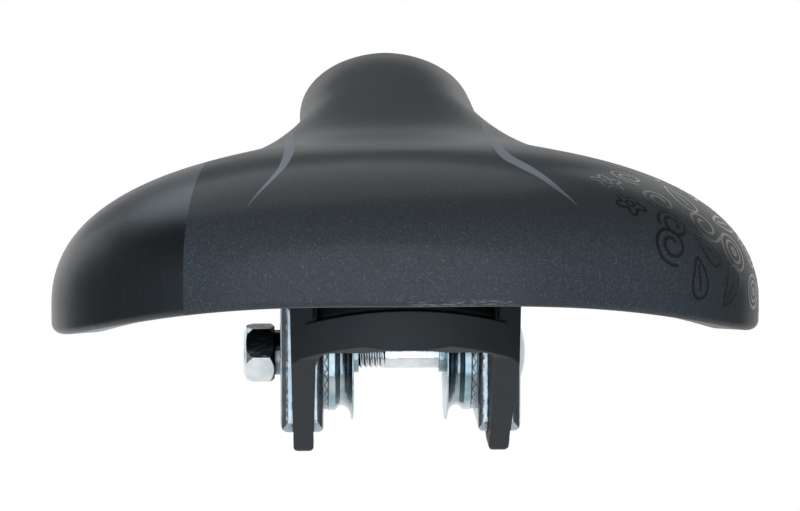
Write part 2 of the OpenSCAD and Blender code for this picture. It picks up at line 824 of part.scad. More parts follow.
// Ring of radial teeth: flat at one height and toothed between the two others
module tooth_ring(flat, valley, crest) {
  count = 2 * tooth_count;
  inner = tooth_inner_diameter / 2;
  outer = cup_base_diameter / 2 - tooth_margin;
  turn = function(k) 180 * k / tooth_count;
  ring = function(r, z0, z1) [
    for (k = [0 : count - 1]) [r * cos(turn(k)), r * sin(turn(k)), k % 2 == 0 ? z0 : z1]
  ];
  quad = function(a, b, k) let (n = (k + 1) % count)
    [[a * count + k, b * count + k, b * count + n], [a * count + k, b * count + n, a * count + n]];
  turned = function(f) crest > flat ? f : [f[0], f[2], f[1]];
  sides = [[0, 1], [1, 3], [3, 2], [2, 0]];
  polyhedron(
    points = concat(
      ring(inner, flat, flat), ring(outer, flat, flat),
      ring(inner, valley, crest), ring(outer, valley, crest)
    ),
    faces = [for (k = [0 : count - 1], s = sides, f = quad(s[0], s[1], k)) turned(f)],
    convexity = 10
  );
}

module inner_plate(side) {
  color("#c9cdd0") difference() {
    union() {
      pressed_plate(side * inner_face, side * inner_seat);
      on_axis(side)
        tooth_ring(inner_face + tooth_sink, tooth_valley + tooth_clearance, tooth_crest + tooth_clearance);
    }
    on_axis(side) cylinder(r = hole_radius, h = nut_end);
  }
}

// Flared cup with a flat rim, a pilot boss and a toothed base
module post_cup(side) {
  rim = cup_rim_diameter / 2;
  waist = cup_waist_diameter / 2;
  base = cup_base_diameter / 2;
  pilot = pilot_diameter / 2;
  depth = cup_base_face - cup_rim_face;
  flare = 0.32 * depth;
  floor = cup_rim_face + 0.45 * depth;
  shoulder = cup_base_face - 0.33 * depth;
  lip = 0.4;
  bevel = 0.8;
  pilot_fillet = 1.5;
  steps = 6;
  outer_flare = [
    for (k = [0 : steps]) let (w = 90 * k / steps)
      [rim - (rim - waist) * sin(w), cup_rim_face + lip + (flare + lip) * (1 - cos(w))]
  ];
  inner_flare = [
    for (k = [steps : -1 : 0]) let (w = 90 * k / steps)
      [mix(rim - cup_rim_width, pilot + pilot_fillet, sin(w)), mix(cup_rim_face, floor, 1 - cos(w))]
  ];
  color("#bcc6cc") on_axis(side) difference() {
    union() {
      rotate_extrude() polygon(concat(
        [[rim, cup_rim_face]], outer_flare,
        [[waist, shoulder - bevel], [base, shoulder + bevel / 2], [base, cup_base_face], [0, cup_base_face]],
        [[0, cup_rim_face - pilot_reach], [pilot, cup_rim_face - pilot_reach], [pilot, floor]],
        inner_flare
      ));
      tooth_ring(cup_base_face - tooth_sink, tooth_valley, tooth_crest);
    }
    translate([0, 0, cup_rim_face - pilot_reach - overlap])
      cylinder(r = hole_radius, h = depth + pilot_reach + 3 * overlap);
  }
}

cover();
foam_pad();
base_shell();
rail_frame();
frame_screw(screw_places()[0]);  // frame_screw_rear_left
frame_screw(screw_places()[1]);  // frame_screw_rear_right
frame_screw(screw_places()[2]);  // frame_screw_front_left
frame_screw(screw_places()[3]);  // frame_screw_front_right
clamp_bolt();
clamp_nut();
outer_plate_left();
outer_plate_right();
inner_plate(-1);  // inner_plate_left
inner_plate(1);  // inner_plate_right
post_cup(-1);  // post_cup_left
post_cup(1);  // post_cup_right
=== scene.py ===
import math

import bmesh
import bpy
import numpy as np
from mathutils import Matrix, Vector
from mathutils.bvhtree import BVHTree


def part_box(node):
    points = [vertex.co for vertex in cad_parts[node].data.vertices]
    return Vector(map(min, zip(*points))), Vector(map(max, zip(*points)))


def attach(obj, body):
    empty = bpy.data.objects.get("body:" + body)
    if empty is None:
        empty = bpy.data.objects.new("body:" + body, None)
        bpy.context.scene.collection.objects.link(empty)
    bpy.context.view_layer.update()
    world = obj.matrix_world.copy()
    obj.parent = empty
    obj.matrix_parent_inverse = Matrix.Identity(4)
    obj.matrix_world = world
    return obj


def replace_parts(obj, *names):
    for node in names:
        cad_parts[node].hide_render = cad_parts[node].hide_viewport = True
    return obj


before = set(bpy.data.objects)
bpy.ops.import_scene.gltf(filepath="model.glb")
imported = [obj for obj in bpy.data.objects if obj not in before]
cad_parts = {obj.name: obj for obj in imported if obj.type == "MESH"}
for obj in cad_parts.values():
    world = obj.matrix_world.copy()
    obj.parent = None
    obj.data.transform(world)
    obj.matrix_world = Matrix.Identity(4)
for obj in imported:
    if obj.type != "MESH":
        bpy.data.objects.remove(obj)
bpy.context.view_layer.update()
scene = bpy.context.scene
MM = 0.001
SQUARE = ((-1, -1), (1, -1), (1, 1), (-1, 1))

# The photograph's camera, in pixels of its 800 x 511 picture. The frame's origin lies this far to the
# right of and below the picture's middle. The distance is in metres, and the sensor in millimetres.
PHOTO_WIDTH = 800
FOCAL_PIXELS = 3225
PITCH, YAW = math.radians(9.0), math.radians(1.95)
DISTANCE = 0.788
ORIGIN_RIGHT, ORIGIN_DOWN = -1.6, 96.0
SENSOR_WIDTH = 36

# The saddle's surface in millimetres, as in the part's source
REAR_Y, WIDE_Y, NOSE_START_Y, NOSE_TIP_Y = -102.0, -50.0, 102.0, 128.0
HALF_WIDTH, HALF_NOSE, NECK_Y = 80.5, 23.5, 70.0
# Rays run round one half of the outline, from the rear's middle to the nose's tip
REAR_RAYS, FLANK_RAYS, NOSE_RAYS = 9, 13, 8
RAYS = REAR_RAYS + FLANK_RAYS + NOSE_RAYS
# Powers of the outline's two round ends, and of the flank between them
REAR_SQUARE, NOSE_SQUARE, FLANK_START, FLANK_END = 2.0, 2.4, 1.4, 2.45
# Sets of three are values at the rear's middle, the wings and the nose. The edge falls with the power
# EDGE_DIP from the rear's middle to the wings, and is level from EDGE_LEVEL_Y on.
EDGE, EDGE_DIP, EDGE_LEVEL_Y = (28.5, 15.0, 34.0), 2.8, 54.0
SKIRT, FULLNESS = (8.0, 5.0, 12.0), (2.3, 2.35, 2.05)
# The crown's heights are at the rear, the waist and the nose. Its line starts CROWN_START ahead of
# the outline's rear, ends CROWN_END behind its tip and is level over CROWN_LEVEL before that. Rays
# nearer to the rear or the tip than CROWN_TURN times those lengths lean towards the line's end.
CROWN, WAIST_Y = (58.0, 55.5, 63.0), -5.0
CROWN_START, CROWN_END, CROWN_LEVEL, CROWN_TURN = 38.0, 22.0, 8.0, 2.2
CROWN_REAR_Y, CROWN_NOSE_Y = REAR_Y + CROWN_START, NOSE_TIP_Y - CROWN_END - CROWN_LEVEL
EDGE_RADIUS, HEM_WIDTH, HEM_CORNER, COVER_THICKNESS = 2.0, 9.5, 0.4, 1.6

# The cover's mesh. RAY_STEP and NEARLY are in rays, and WELD is in metres.
COLUMNS_PER_RAY, SKIN_ROWS, SKIRT_ROWS, ROUND_ROWS, HEM_ROWS = 6, 50, 6, 7, 4
RAY_STEP, NEARLY, WELD = 0.4, 0.01, 1e-6

# The brushed panel on the left wing, whose border is a line that bows outwards behind BOW_START_Y
PANEL_X, PANEL_BOW, PANEL_BLUR = -45.0, -4.2, 0.08
BOW_START_Y, BOW_LENGTH, BOW_LIMIT = -30.0, 61.0, 1.2

# Where the painted light low on the rear face (a lighter, bluer tone with painted glints), the ink and the
# rubbed line begin, and where they are full
LIT_LOW_Z, LIT_LOW_Y, INK_Y = (50, 36), (-66, -92), (-90, -80)
RUBBED_LOW, RUBBED_HIGH, RUBBED_LEFT, RUBBED_RIGHT = (28.3, 28.9), (30.4, 29.6), (-3, 3), (25, 17)

# The frame's slot above its plaque, which is painted near black as shade, and how softly that painted shade
# begins
PLAQUE_TOP, PLAQUE_RADIUS, SLOT_HALF_WIDTH, SLOT_Y = 20.7, 64.0, 21.0, -51.0
SLOT_BLUR, SLOT_BLUR_X, SLOT_BLUR_Y = 0.8, 0.6, 2.0


def ease(u):
    """A smooth step from 0 to 1."""
    v = np.clip(u, 0, 1)
    return v * v * (3 - 2 * v)


def mix(a, b, t):
    return a + (b - a) * t


def outline(i):
    """Outline of the lower edge for rays 0 to RAYS, which need not be whole numbers."""
    i = np.asarray(i, float)
    rear = np.radians(90 * np.clip(i, 0, REAR_RAYS) / REAR_RAYS)
    nose = np.radians(90 * np.clip((i - REAR_RAYS - FLANK_RAYS) / NOSE_RAYS, 0, 1))
    y = mix(WIDE_Y, NOSE_START_Y, np.clip((i - REAR_RAYS) / FLANK_RAYS, 0, 1))
    u = np.clip((y - WIDE_Y) / (NECK_Y - WIDE_Y), 0, 1)
    x = mix(HALF_NOSE, HALF_WIDTH, (1 - u**FLANK_START) ** FLANK_END)
    rear_x = HALF_WIDTH * np.sin(rear) ** (2 / REAR_SQUARE)
    rear_y = WIDE_Y - (WIDE_Y - REAR_Y) * np.cos(rear) ** (2 / REAR_SQUARE)
    nose_x = HALF_NOSE * np.clip(np.cos(nose), 0, 1) ** (2 / NOSE_SQUARE)
    nose_y = NOSE_START_Y + (NOSE_TIP_Y - NOSE_START_Y) * np.sin(nose) ** (2 / NOSE_SQUARE)
    is_rear, is_nose = i < REAR_RAYS, i > REAR_RAYS + FLANK_RAYS
    x = np.where(is_rear, rear_x, np.where(is_nose, nose_x, x))
    y = np.where(is_rear, rear_y, np.where(is_nose, nose_y, y))
    return x, y


def along(i, values, power):
    """A measure given at the rear's middle, the wings and the nose, at any ray between them."""
    x, y = outline(i)
    rear, wing, nose = values
    share = ease((y - WIDE_Y) / (EDGE_LEVEL_Y - WIDE_Y))
    return np.where(i <= REAR_RAYS, mix(rear, wing, (x / HALF_WIDTH) ** power), mix(wing, nose, share))


def crown_z(y):
    """Height of the crown line."""
    rear, waist, nose = CROWN
    behind = mix(waist, rear, ease((WAIST_Y - y) / (WAIST_Y - CROWN_REAR_Y)))
    ahead = mix(waist, nose, ease((y - WAIST_Y) / (CROWN_NOSE_Y - WAIST_Y)))
    return np.where(y < WAIST_Y, behind, ahead)


def skin(ray, s):
    """Points of the cover's outside.

    Negative rays are on the left, and s runs from 0 at the crown to 90 at the skirt.
    """
    ray = np.asarray(ray, float)
    side, i = np.where(ray < 0, -1.0, 1.0), np.abs(ray)
    x, y = outline(i)
    back = np.maximum(0, 1 - (y - REAR_Y) / (CROWN_TURN * CROWN_START))
    front = np.maximum(0, 1 - (NOSE_TIP_Y - y) / (CROWN_TURN * CROWN_END))
    foot_y = y + CROWN_START * back**2 - CROWN_END * front**2
    power = 2 / along(i, FULLNESS, 2)
    out = np.sin(np.radians(s)) ** power
    up = np.clip(np.cos(np.radians(s)), 0, 1) ** power
    foot = along(i, EDGE, EDGE_DIP) + along(i, SKIRT, 2)
    return np.stack([side * x * out, mix(foot_y, y, out), mix(foot, crown_z(foot_y), up)], -1)


def edge_rows(ray):
    """Rows from the skirt's top round the lower edge and under the hem."""
    side, i = np.where(ray < 0, -1.0, 1.0), np.abs(ray)
    x, y = outline(i)
    x0, y0 = outline(np.clip(i - RAY_STEP, 0, RAYS))
    x1, y1 = outline(np.clip(i + RAY_STEP, 0, RAYS))
    normal = np.stack([y1 - y0, x0 - x1], -1)
    normal /= np.linalg.norm(normal, axis=-1, keepdims=True)
    normal[i < NEARLY] = (0, -1)
    normal[i > RAYS - NEARLY] = (0, 1)
    z = along(i, EDGE, EDGE_DIP)
    skirt = along(i, SKIRT, 2)
    # How far inward and how far up each row lies from the outline's lower edge
    places = [(0, mix(skirt, EDGE_RADIUS, k)) for k in np.linspace(0, 1, SKIRT_ROWS + 1)[1:]]
    for a in np.radians(np.linspace(0, 90, ROUND_ROWS + 1)[1:]):
        places.append((EDGE_RADIUS * (1 - math.cos(a)), EDGE_RADIUS * (1 - math.sin(a))))
    for inward in np.linspace(EDGE_RADIUS, HEM_WIDTH - HEM_CORNER, HEM_ROWS + 1)[1:]:
        places.append((inward, 0))
    places += [(HEM_WIDTH, HEM_CORNER), (HEM_WIDTH, COVER_THICKNESS)]
    rows = []
    for inward, up in places:
        px, py = x - inward * normal[:, 0], y - inward * normal[:, 1]
        rows.append(np.stack([side * np.maximum(px, 0), py, z + up], -1))
    return rows


def mesh_object(name, verts, faces, material, smooth=True, weld=0.0):
    """A mesh in metres with its faces turned outwards, linked to the scene."""
    mesh = bpy.data.meshes.new(name)
    mesh.from_pydata([tuple(v) for v in verts], [], faces)
    work = bmesh.new()
    work.from_mesh(mesh)
    if weld:
        bmesh.ops.remove_doubles(work, verts=work.verts, dist=weld)
    bmesh.ops.recalc_face_normals(work, faces=work.faces)
    work.to_mesh(mesh)
    work.free()
    mesh.materials.append(material)
    mesh.polygons.foreach_set("use_smooth", [smooth] * len(mesh.polygons))
    obj = bpy.data.objects.new(name, mesh)
    scene.collection.objects.link(obj)
    return obj


def grid_faces(rows, columns, closed=False):
    """Faces between the rows of a grid of points, whose columns may close to a ring."""
    last = columns if closed else columns - 1
    return [
        (r * columns + c, r * columns + (c + 1) % columns,
         (r + 1) * columns + (c + 1) % columns, (r + 1) * columns + c)
        for r in range(rows - 1) for c in range(last)
    ]


def finished(obj):
    """Let a new piece ride on the one body."""
    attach(obj, "root")
    return obj


def feed(tree, value, socket):
    """Link a socket's value, or set a plain one."""
    if isinstance(value, bpy.types.NodeSocket):
        tree.links.new(value, socket)
    else:
        socket.default_value = value


def add_node(tree, kind, *values):
    """A new node whose first inputs take the values."""
    node = tree.nodes.new("ShaderNode" + kind)
    for value, socket in zip(values, node.inputs):
        feed(tree, value, socket)
    return node


# Materials
SHADER_SOCKETS = {
    "color": "Base Color", "metallic": "Metallic", "roughness": "Roughness", "normal": "Normal",
    "specular": "Specular IOR Level", "specular_tint": "Specular Tint",
    "coat": "Coat Weight", "coat_roughness": "Coat Roughness", "coat_ior": "Coat IOR",
}


def rgb(r, g, b):
    return (r, g, b, 1.0)


class Nodes:
    """Short ways to lay out one material's nodes, on coordinates in millimetres."""

    def __init__(self, name):
        self.material = bpy.data.materials.new(name)
        self.material.use_nodes = True
        self.tree = self.material.node_tree
        place = add_node(self.tree, "TexCoord")
        scale = add_node(self.tree, "VectorMath", place.outputs["Object"])
        scale.operation = "SCALE"
        scale.inputs["Scale"].default_value = 1 / MM
        self.millimetres = scale.outputs[0]

    def math(self, operation, *values):
        node = add_node(self.tree, "Math", *values)
        node.operation = operation
        return node.outputs[0]

    def product(self, first, *others):
        for other in others:
            first = self.math("MULTIPLY", first, other)
        return first

    def scaled(self, value, factor, offset):
        return self.math("MULTIPLY_ADD", value, factor, offset)

    def axes(self):
        return add_node(self.tree, "SeparateXYZ", self.millimetres).outputs

    def stretched(self, factors):
        node = add_node(self.tree, "VectorMath", self.millimetres, factors)
        node.operation = "MULTIPLY"
        return node.outputs[0]

    def noise(self, scale, detail, roughness=0.5, vector=None):
        """Noise from 0 to 1 with so many waves a millimetre."""
        node = add_node(self.tree, "TexNoise", vector or self.millimetres)
        node.inputs["Scale"].default_value = scale
        node.inputs["Detail"].default_value = detail
        node.inputs["Roughness"].default_value = roughness
        return node.outputs["Fac"]

    def cells(self, scale):
        """Distance from the nearest of scattered points, and that point's own number from 0 to 1."""
        node = add_node(self.tree, "TexVoronoi", self.millimetres)
        node.inputs["Scale"].default_value = scale
        numbers = add_node(self.tree, "SeparateColor", node.outputs["Color"])
        return node.outputs["Distance"], numbers.outputs[0]

    def ramp(self, value, none, full):
        """A smooth step that is 0 where the value is none and 1 where it is full."""
        node = add_node(self.tree, "MapRange", value, none, full)
        node.interpolation_type = "SMOOTHSTEP"
        return node.outputs[0]

    def blend(self, factor, a, b):
        """Colour a where the factor is 0 and b where it is 1."""
        node = add_node(self.tree, "Mix", factor)
        node.data_type = "RGBA"
        for color, socket in zip((a, b), [s for s in node.inputs if s.type == "RGBA"]):
            feed(self.tree, color, socket)
        return [s for s in node.outputs if s.type == "RGBA"][0]

    def bump(self, height, distance, strength, normal=None):
        """Relief of so many millimetres, over another relief if one is given."""
        node = add_node(self.tree, "Bump")
        node.inputs["Distance"].default_value = distance * MM
        node.inputs["Strength"].default_value = strength
        feed(self.tree, height, node.inputs["Height"])
        if normal is not None:
            feed(self.tree, normal, node.inputs["Normal"])
        return node.outputs[0]

    def soft_edges(self, radius):
        node = add_node(self.tree, "Bevel")
        node.samples = 6
        node.inputs["Radius"].default_value = radius * MM
        return node.outputs[0]

    def openness(self, reach):
        """How open a place is to its surroundings, from 0 to 1."""
        node = add_node(self.tree, "AmbientOcclusion")
        node.samples = 8
        node.inputs["Distance"].default_value = reach * MM
        return node.outputs["AO"]

    def finish(self, **values):
        shader = self.tree.nodes["Principled BSDF"]
        for key, value in values.items():
            feed(self.tree, value, shader.inputs[SHADER_SOCKETS[key]])
        return self.material


def panel_mask(n, x, y):
    """1 on the brushed panel of the left wing."""
    bow = n.math("DIVIDE", n.math("SUBTRACT", BOW_START_Y, y), BOW_LENGTH)
    bow = n.math("MINIMUM", n.math("MAXIMUM", bow, 0.0), BOW_LIMIT)
    border = n.scaled(n.product(bow, bow), PANEL_BOW, PANEL_X)
    return n.ramp(n.math("SUBTRACT", border, x), -PANEL_BLUR, PANEL_BLUR)


def grit_and_glint_mask(n, grain, low):
    """Fine light grain in patches; the grain is the vinyl's own, and the extra amount low on the rear face
    is painted glint.
    """
    mottle = n.noise(scale=1.3, detail=3, roughness=0.65)
    patches = n.scaled(n.ramp(mottle, none=0.35, full=0.65), factor=0.7, offset=0.3)
    amount = n.scaled(low, factor=0.55, offset=0.3)
    return n.product(n.ramp(grain, none=0.42, full=0.66), patches, amount)


def fleck_glint_mask(n, low):
    """Single light flecks as painted glints, most of them low on the rear face where the light falls."""
    distance, chance = n.cells(scale=1.15)
    dots = n.ramp(distance, none=0.2, full=0.1)
    picked = n.ramp(chance, none=0.72, full=0.8)
    return n.product(dots, picked, n.scaled(low, factor=0.8, offset=0.2))


def rubbed_mask(n, x, z):
    """A scuffed line on the rear's lower edge, right of the middle."""
    height = n.product(n.ramp(z, *RUBBED_LOW), n.ramp(z, *RUBBED_HIGH))
    width = n.product(n.ramp(x, *RUBBED_LEFT), n.ramp(x, *RUBBED_RIGHT))
    scuffs = n.noise(scale=1.0, detail=3, roughness=0.7, vector=n.stretched((0.5, 1.0, 5.0)))
    return n.product(height, width, n.ramp(scuffs, none=0.5, full=0.62))


def vinyl():
    """Matt grained vinyl with fine flecks and a smoother brushed panel on the left wing; low on the rear
    face it has painted light, a lighter, bluer tone with more grit and flecks as painted glints.
    """
    matt_top, matt_lit_low = rgb(0.034, 0.037, 0.040), rgb(0.036, 0.043, 0.051)
    grit_and_glint, fleck_glint, rubbed = rgb(0.085, 0.1, 0.115), rgb(0.2, 0.25, 0.26), rgb(0.27, 0.28, 0.28)
    brushed_dark, brushed_light = rgb(0.010, 0.0105, 0.011), rgb(0.028, 0.030, 0.031)
    matt_sheen, brushed_sheen = rgb(1.0, 1.0, 1.0), rgb(0.7, 0.84, 1.0)
    fleck_glint_share, rubbed_share = 0.5, 0.75
    n = Nodes("grained_vinyl")
    x, y, z = n.axes()
    panel = panel_mask(n, x, y)
    # low marks the lower rear face, where the painted light and painted glints go
    low = n.product(n.ramp(z, *LIT_LOW_Z), n.ramp(y, *LIT_LOW_Y))
    grain = n.noise(scale=3.4, detail=3, roughness=0.7)
    waves = n.noise(scale=0.05, detail=2)
    streaks = n.noise(scale=1.0, detail=3, roughness=0.6, vector=n.stretched((3.2, 3.2, 0.09)))
    # Painted light: the matt tone turns lighter and bluer low on the rear face, where the front lamp falls
    matt = n.blend(low, matt_top, matt_lit_low)
    # Light grit: the vinyl's own grain, with painted glints added low on the rear face
    matt = n.blend(grit_and_glint_mask(n, grain, low), matt, grit_and_glint)
    # Painted glints: light flecks, most of them low on the rear face
    matt = n.blend(n.product(fleck_glint_mask(n, low), fleck_glint_share), matt, fleck_glint)
    matt = n.blend(n.product(rubbed_mask(n, x, z), rubbed_share), matt, rubbed)
    brushed = n.blend(n.ramp(streaks, none=0.55, full=0.8), brushed_dark, brushed_light)
    normal = n.bump(waves, distance=1.2, strength=0.3)
    normal = n.bump(grain, distance=0.08, strength=0.6, normal=normal)
    normal = n.bump(n.product(streaks, panel), distance=0.05, strength=0.5, normal=normal)
    return n.finish(
        color=n.blend(panel, matt, brushed),
        roughness=n.scaled(panel, factor=-0.2, offset=n.scaled(grain, factor=0.2, offset=0.47)),
        normal=normal,
        specular=n.scaled(panel, factor=0.49, offset=0.06),
        specular_tint=n.blend(panel, matt_sheen, brushed_sheen),
        coat=n.scaled(panel, factor=-0.1, offset=0.38),
        coat_roughness=0.24,
        coat_ior=1.3,
    )


def ink():
    """Grey paint that fades at the strokes' rear tips."""
    dark, light, tip = rgb(0.13, 0.147, 0.165), rgb(0.17, 0.19, 0.21), rgb(0.09, 0.1, 0.11)
    n = Nodes("grey_ink")
    _, y, _ = n.axes()
    grain = n.noise(scale=2.6, detail=4, roughness=0.6)
    return n.finish(
        color=n.blend(n.ramp(y, *INK_Y), tip, n.blend(grain, dark, light)),
        roughness=n.scaled(grain, factor=0.2, offset=0.4),
        normal=n.bump(grain, distance=0.05, strength=0.4),
    )


def gloss():
    """Dark print, smoother than the vinyl round it, under a thin varnish."""
    dark, light = rgb(0.008, 0.008, 0.009), rgb(0.02, 0.021, 0.022)
    n = Nodes("gloss_print")
    grain = n.noise(scale=1.6, detail=3)
    return n.finish(
        color=n.blend(grain, dark, light),
        roughness=n.scaled(grain, factor=0.15, offset=0.2),
        normal=n.bump(grain, distance=0.04, strength=0.3),
        coat=0.15,
        coat_roughness=0.25,
    )


def painted_slot_shade(n):
    """1 in the frame's slot above the arc of its plaque, where shade is painted."""
    x, y, z = n.axes()
    arc = n.scaled(n.product(x, x), factor=-0.5 / PLAQUE_RADIUS, offset=PLAQUE_TOP)
    above = n.ramp(n.math("SUBTRACT", z, arc), none=0.0, full=SLOT_BLUR)
    behind = n.ramp(y, SLOT_Y + SLOT_BLUR_Y, SLOT_Y)
    between = n.ramp(n.math("ABSOLUTE", x), SLOT_HALF_WIDTH + SLOT_BLUR_X, SLOT_HALF_WIDTH)
    return n.product(above, behind, between)


def plastic(name, dark, light, roughness, slot=False):
    """Moulded plastic with painted shade in its corners and, for the frame, in the slot over the plaque."""
    corner, slot_shade_color = rgb(0.006, 0.0065, 0.007), rgb(0.001, 0.001, 0.001)
    wave_share, grain_share = 0.6, 0.4
    n = Nodes(name)
    grain = n.noise(scale=3.0, detail=4, roughness=0.6)
    waves = n.noise(scale=0.12, detail=3)
    color = n.blend(n.scaled(waves, factor=wave_share, offset=n.product(grain, grain_share)), dark, light)
    # Painted shade: the plastic turns near black in corners and recesses that are closed in
    color = n.blend(n.ramp(n.openness(reach=9), none=0.15, full=0.6), corner, color)
    if slot:
        # Painted shade: the slot over the plaque is painted near black
        color = n.blend(painted_slot_shade(n), color, slot_shade_color)
    normal = n.bump(waves, distance=0.4, strength=0.2, normal=n.soft_edges(radius=0.5))
    return n.finish(
        color=color,
        roughness=n.scaled(grain, factor=0.18, offset=roughness),
        normal=n.bump(grain, distance=0.05, strength=0.5, normal=normal),
        specular=0.18,
    )


def zinc(name, base, blue, roughness, streak=(0.5, 3.0, 3.0), dent=0.2):
    """Bright zinc plating with faint blue passivation, drawing lines, dents and small dull spots, and
    painted shade that darkens its reflections where it is closed in.
    """
    dull, corner = rgb(0.33, 0.36, 0.38), rgb(0.03, 0.035, 0.04)
    dull_share = 0.35
    n = Nodes(name)
    cloud = n.noise(scale=0.22, detail=2)
    spots = n.noise(scale=1.7, detail=2)
    dents = n.noise(scale=0.55, detail=2)
    lines = n.noise(scale=1.0, detail=3, roughness=0.6, vector=n.stretched(streak))
    color = n.blend(n.ramp(cloud, none=0.3, full=0.7), base, blue)
    color = n.blend(n.product(n.ramp(spots, none=0.66, full=0.78), dull_share), color, dull)
    # Painted shade: the plating turns dark where it is closed in, as on the nut's top under the saddle
    color = n.blend(n.ramp(n.openness(reach=40), none=0.15, full=0.75), corner, color)
    rough = n.scaled(cloud, factor=0.1, offset=roughness)
    rough = n.scaled(n.ramp(spots, none=0.62, full=0.76), factor=0.08, offset=rough)
    normal = n.bump(cloud, distance=0.2, strength=0.3, normal=n.soft_edges(radius=0.35))
    normal = n.bump(dents, distance=dent, strength=0.35, normal=normal)
    return n.finish(
        color=color,
        metallic=1.0,
        roughness=rough,
        normal=n.bump(lines, distance=0.02, strength=0.25, normal=normal),
    )


VINYL, INK, GLOSS = vinyl(), ink(), gloss()
FRAME_PLASTIC = plastic("frame_plastic", dark=rgb(0.02, 0.023, 0.026), light=rgb(0.031, 0.035, 0.039),
                        roughness=0.45, slot=True)
BASE_PLASTIC = plastic("base_plastic", dark=rgb(0.012, 0.012, 0.013), light=rgb(0.022, 0.022, 0.024),
                       roughness=0.5)
PLATE_ZINC = zinc("plate_zinc", base=rgb(0.47, 0.51, 0.54), blue=rgb(0.33, 0.39, 0.45),
                  roughness=0.16, dent=0.45)
CUP_ZINC = zinc("cup_zinc", base=rgb(0.55, 0.64, 0.68), blue=rgb(0.3, 0.43, 0.5),
                roughness=0.14, streak=(3.0, 0.6, 0.6))
BOLT_ZINC = zinc("bolt_zinc", base=rgb(0.8, 0.83, 0.84), blue=rgb(0.62, 0.71, 0.75),
                 roughness=0.12, streak=(0.4, 3.0, 3.0))


# Cover and its print
def make_cover():
    """One skin from the crown to the hem, which stands for the cover and its padding."""
    columns = np.linspace(-RAYS, RAYS, 2 * COLUMNS_PER_RAY * RAYS + 1)
    rows = [skin(columns, s) for s in np.linspace(0, 90, SKIN_ROWS)] + edge_rows(columns)
    faces = grid_faces(len(rows), len(columns))
    cover = mesh_object("saddle_cover", np.concatenate(rows) * MM, faces, VINYL, weld=WELD)
    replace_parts(finished(cover), "cover", "foam_pad")
    return cover.data


cover_mesh = make_cover()
surface = BVHTree.FromPolygons(
    [vertex.co for vertex in cover_mesh.vertices],
    [face.vertices for face in cover_mesh.polygons],
)
# How far paint and print stand off the cover, and a height over all of it, in millimetres
PAINT_LIFT, PRINT_LIFT, ABOVE_COVER = 0.03, 0.04, 90
# A place inside the padding lies at this share of x and y, and at this height in metres
CORE_SHARE, CORE_HEIGHT = 0.4, 0.02


def on_skin(point):
    """The nearest place on the cover to a point in millimetres, raised by the print's thickness."""
    place, normal, _, _ = surface.find_nearest(Vector(point) * MM)
    inside = Vector((place.x * CORE_SHARE, place.y * CORE_SHARE, CORE_HEIGHT))
    if normal.dot(place - inside) < 0:
        normal = -normal
    return place + normal * PRINT_LIFT * MM


def smooth_line(points, steps):
    """Points along a Catmull-Rom curve through the given ones."""
    p = np.array([points[0], *points, points[-1]], float)
    out = []
    for k in range(len(points) - 1):
        a, b, c, d = p[k : k + 4]
        for t in np.arange(steps) / steps:
            out.append(0.5 * (2 * b + (c - a) * t + (2 * a - 5 * b + 4 * c - d) * t * t
                              + (3 * b - a - 3 * c + d) * t**3))
    return np.array([*out, p[-1]])


def swoosh(name, outer, inner, steps=14, across=5):
    """A painted stroke between two lines that are given from above."""
    verts = []
    for p, q in zip(smooth_line(outer, steps), smooth_line(inner, steps)):
        for k in range(across):
            x, y = mix(p, q, k / (across - 1))
            place, normal, _, _ = surface.ray_cast(Vector((x, y, ABOVE_COVER)) * MM, Vector((0, 0, -1)))
            lift = PAINT_LIFT if normal.z > 0 else -PAINT_LIFT
            verts.append(place + normal * lift * MM)
    faces = grid_faces(len(verts) // across, across)
    return finished(mesh_object(name, verts, faces, INK))


swoosh("swoosh_left",
       [(-27.0, 34), (-27.9, 18), (-27.9, -4.4), (-27.6, -28), (-27.5, -53), (-27.9, -66.4), (-28.8, -75.6),
        (-30.6, -81.2), (-33.0, -85.6), (-35.4, -89.2)],
       [(-26.8, 34), (-25.6, 18), (-25.2, -4.4), (-25.1, -28), (-25.2, -53), (-25.6, -64.5), (-27.0, -75.0),
        (-29.4, -81.3), (-32.3, -85.8), (-35.3, -89.3)])
swoosh("swoosh_right",
       [(22.6, 34), (23.4, 18), (22.9, -6), (21.9, -30), (21.5, -53), (22.9, -68.3), (26.2, -75.8),
        (29.6, -81.6), (32.6, -86.0), (35.5, -89.3)],
       [(22.4, 34), (21.2, 18), (20.5, -6), (19.7, -30), (19.2, -53), (20.2, -71), (23.2, -77.6),
        (27.2, -82.1), (31.2, -86.3), (35.4, -89.4)])

# The ornaments on the right wing. Each place is a ray and the angle s below the crown. Sizes and
# line widths are in millimetres, and each ornament is turned by TURN_STEP radians from the last.
KINDS = ("bloom", "rings", "leaf", "curl")
PRINT_PLACES = (
    (5.2, 40), (6.6, 38), (8.2, 37), (9.9, 38), (11.4, 41), (4.6, 53), (5.8, 51), (7.1, 50), (8.6, 50),
    (10.1, 51), (11.5, 53), (5.2, 63), (6.4, 62.5), (7.7, 62), (9.1, 62.5), (10.5, 64), (12.0, 66),
    (4.7, 73), (5.8, 73), (6.9, 73), (8.1, 73.5), (9.4, 74.5), (10.8, 76), (5.2, 85), (6.3, 85.5),
    (7.5, 86), (8.7, 87), (10.0, 88), (11.3, 88.5),
)
SMALLEST_SIZE, SIZE_SPREAD, TURN_STEP = 3.7, 1.2, 2.4
CIRCLE_POINTS, CURL_POINTS, RIB_POINTS = 41, 46, 12
RAY_NUDGE, ANGLE_NUDGE = 0.05, 0.5


